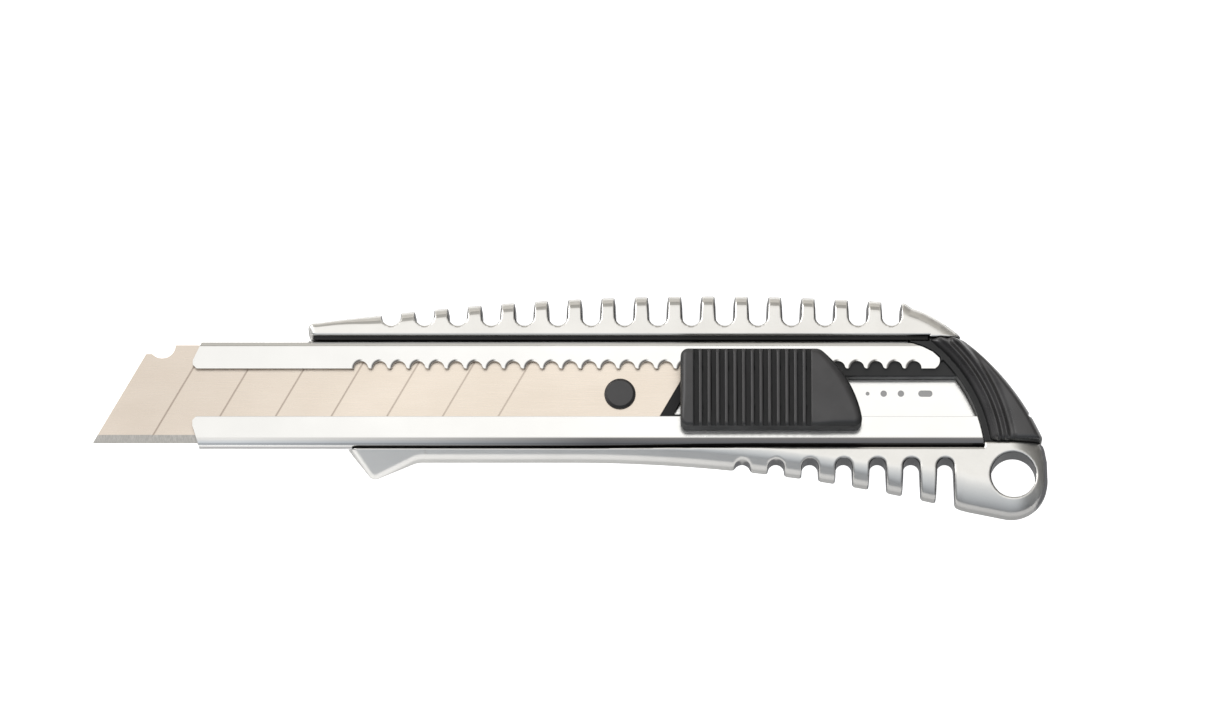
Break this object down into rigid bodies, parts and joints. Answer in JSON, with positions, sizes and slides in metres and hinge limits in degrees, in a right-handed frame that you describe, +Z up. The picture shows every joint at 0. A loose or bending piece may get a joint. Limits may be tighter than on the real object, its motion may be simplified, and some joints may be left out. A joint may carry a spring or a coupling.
{
  "type": "utility knife",
  "caption": "Snap-off utility knife: cast finned handle with lanyard hole, folded steel channel with round-notched rack, ribbed auto-lock slider, pull-out end plug, blade partly out.",
  "frame": {"origin": "middle of the knife's length and width, at the height of the handle's back face", "axes": "+X runs from the blade's tip to the rear end, +Y points to the finned back edge, +Z points up from the back face to the slider"},
  "size_m": [0.1715, 0.04, 0.0116],
  "materials": {
    "cast_zinc": "die-cast zinc, satin",
    "stainless": "polished stainless sheet",
    "blade_steel": "satin",
    "spring_steel": "satin",
    "rivet_steel": "satin",
    "black_plastic": "moulded, satin"
  },
  "bodies": {
    "handle": {"handle_body": "cast_zinc", "channel_liner": "black_plastic", "blade_channel": "stainless", "channel_rivets": "rivet_steel"},
    "carriage": {"blade": "blade_steel", "blade_carrier": "stainless", "blade_seat": "black_plastic", "carrier_rivets": "rivet_steel", "blade_stud": "black_plastic", "slider_neck": "black_plastic", "neck_rivets": "rivet_steel", "lock_spring": "spring_steel"},
    "button": {"thumb_button": "black_plastic", "button_pins": "rivet_steel", "return_springs": "spring_steel"},
    "plug": {"end_plug": "black_plastic"}
  },
  "joints": [
    {"name": "carriage_slide", "type": "slide", "parent": "handle", "child": "carriage", "axis": [1, 0, 0], "range_m": [-0.0686, 0.02058], "deforming": ["lock_spring"]},
    {"name": "button_shift", "type": "slide", "parent": "carriage", "child": "button", "axis": [1, 0, 0], "range_m": [-0.0009, 0.0009], "stiffness_N_per_m": 400, "deforming": ["return_springs"]},
    {"name": "plug_pull", "type": "slide", "parent": "handle", "child": "plug", "axis": [1, 0, 0], "range_m": [0, 0.045]}
  ]
}
